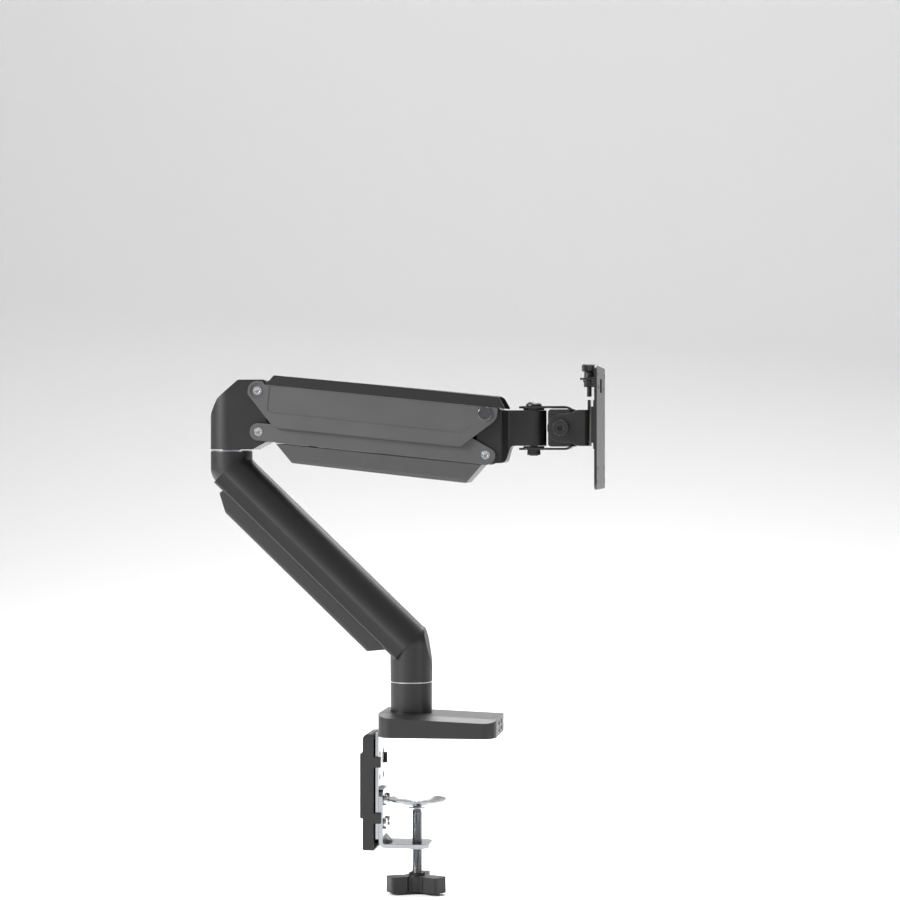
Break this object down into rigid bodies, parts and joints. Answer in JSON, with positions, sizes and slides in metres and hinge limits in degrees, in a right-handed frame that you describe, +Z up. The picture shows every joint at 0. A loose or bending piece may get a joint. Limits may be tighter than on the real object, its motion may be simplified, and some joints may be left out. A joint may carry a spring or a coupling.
{
  "type": "monitor arm",
  "caption": "Gas-spring monitor arm with desk clamp, swivelling lower arm, parallel-link upper arm and a panning, tilting, rotating screen mount.",
  "frame": {"origin": "the desk surface under the base, on the axis of the column", "axes": "+X from the column towards the screen at rest, +Z up, +Y to the far side"},
  "size_m": [0.3745, 0.115, 0.4998],
  "materials": {
    "black_coat": "satin",
    "grey_coat": "satin",
    "black_plastic": "textured",
    "grey_plastic": "fine texture",
    "chrome": "polished",
    "zinc": "bright zinc",
    "black_steel": "black oxide",
    "bearing_plastic": "acetal",
    "foam": "foam",
    "board": "circuit board",
    "steel": "turned"
  },
  "bodies": {
    "base": {"base_housing": "black_coat", "base_pad": "foam", "base_plate": "black_steel", "column": "black_coat", "column_screws": "zinc", "column_bush": "bearing_plastic", "column_ring": "steel", "usb_ports": "zinc", "audio_jacks": "black_plastic", "usb_board": "board", "cable_gland": "black_plastic", "upper_bracket": "chrome", "bracket_screws": "zinc", "lower_bracket": "chrome", "clamp_nut": "chrome", "bracket_bolts": "zinc", "rear_cover": "black_plastic"},
    "clamp_pad": {"pad_disc": "chrome", "pad_rivet": "chrome"},
    "clamp_screw": {"clamp_screw": "chrome", "clamp_knob": "black_plastic"},
    "lower_arm": {"lower_arm": "black_coat", "lower_spindle": "steel", "spindle_retainer": "steel", "lower_arm_cover": "black_plastic", "lower_cover_screws": "zinc", "elbow_ring": "steel", "elbow_spindle": "steel", "elbow_clip": "steel"},
    "elbow": {"elbow_hub": "black_coat", "elbow_bush": "bearing_plastic", "rear_pins": "zinc", "spring_rear_pin": "steel"},
    "upper_link": {"upper_link": "grey_coat", "top_cover": "black_plastic", "top_cover_screws": "zinc", "gas_cylinder": "black_steel", "spring_front_pin": "steel", "spring_spacers": "bearing_plastic"},
    "gas_rod": {"gas_rod": "steel"},
    "lower_link": {"lower_link": "grey_coat", "arm_cable_cover": "grey_plastic"},
    "head_hub": {"head_hub": "black_coat", "front_pins": "zinc", "front_pivot_caps": "chrome", "pan_bush": "bearing_plastic"},
    "pan_bracket": {"pan_bracket": "black_steel", "pan_bolt": "black_steel", "pan_nut": "black_steel", "pan_washers": "black_steel", "tilt_bolt": "black_steel", "tilt_nut": "black_steel", "tilt_washers": "bearing_plastic"},
    "tilt_bracket": {"tilt_bracket": "black_steel"},
    "hook_plate": {"hook_plate": "black_steel", "rotate_bolt": "black_steel", "rotate_washer": "bearing_plastic"},
    "vesa_plate": {"vesa_plate": "black_steel", "lock_nut": "black_steel"},
    "thumbscrew": {"thumbscrew": "black_steel"}
  },
  "joints": [
    {"name": "clamp_travel", "type": "slide", "parent": "base", "child": "clamp_pad", "axis": [0, 0, 1], "range_m": [-0.028, 0.022]},
    {"name": "clamp_turn", "type": "hinge", "parent": "clamp_pad", "child": "clamp_screw", "pos_m": [0.0055, 0, -0.061], "axis": [0, 0, 1], "range_deg": [-6730, 5290]},
    {"name": "base_swivel", "type": "hinge", "parent": "base", "child": "lower_arm", "pos_m": [0, 0, 0.0492], "axis": [0, 0, 1], "continuous": true},
    {"name": "elbow_swivel", "type": "hinge", "parent": "lower_arm", "child": "elbow", "pos_m": [-0.174, 0, 0.2686], "axis": [0, 0, 1], "range_deg": [-180, 180]},
    {"name": "arm_lift", "type": "hinge", "parent": "elbow", "child": "upper_link", "pos_m": [-0.1435, 0, 0.3263], "axis": [0, -1, 0], "range_deg": [-32, 42]},
    {"name": "lower_link_swing", "type": "hinge", "parent": "elbow", "child": "lower_link", "pos_m": [-0.1435, 0, 0.2874], "axis": [0, -1, 0], "range_deg": [-33, 43]},
    {"name": "head_level", "type": "hinge", "parent": "upper_link", "child": "head_hub", "pos_m": [0.07338, 0, 0.30427], "axis": [0, -1, 0], "range_deg": [-43, 33]},
    {"name": "spring_slide", "type": "slide", "parent": "upper_link", "child": "gas_rod", "axis": [-0.9977, 0, 0.0675], "range_m": [-0.014, 0.018]},
    {"name": "head_pan", "type": "hinge", "parent": "head_hub", "child": "pan_bracket", "pos_m": [0.11698, 0, 0.29072], "axis": [0, 0, 1], "range_deg": [-90, 90]},
    {"name": "head_tilt", "type": "hinge", "parent": "pan_bracket", "child": "tilt_bracket", "pos_m": [0.14448, 0, 0.29072], "axis": [0, -1, 0], "range_deg": [-45, 45]},
    {"name": "screen_rotate", "type": "hinge", "parent": "tilt_bracket", "child": "hook_plate", "pos_m": [0.17448, 0, 0.29072], "axis": [1, 0, 0], "range_deg": [-90, 90]},
    {"name": "plate_release", "type": "slide", "parent": "hook_plate", "child": "vesa_plate", "axis": [0, 0, 1], "range_m": [0, 0.05]},
    {"name": "lock_turn", "type": "hinge", "parent": "vesa_plate", "child": "thumbscrew", "pos_m": [0.16948, 0, 0.33702], "axis": [0, 0, 1], "continuous": true}
  ],
  "couplings": [
    {"joint": "clamp_turn", "follows": "clamp_travel", "rad_per_m": 4188.8},
    {"joint": "lower_link_swing", "follows": "arm_lift", "ratio": 1},
    {"joint": "head_level", "follows": "arm_lift", "ratio": -1},
    {"joint": "spring_slide", "follows": "arm_lift", "m_per_rad": 0.019179}
  ]
}
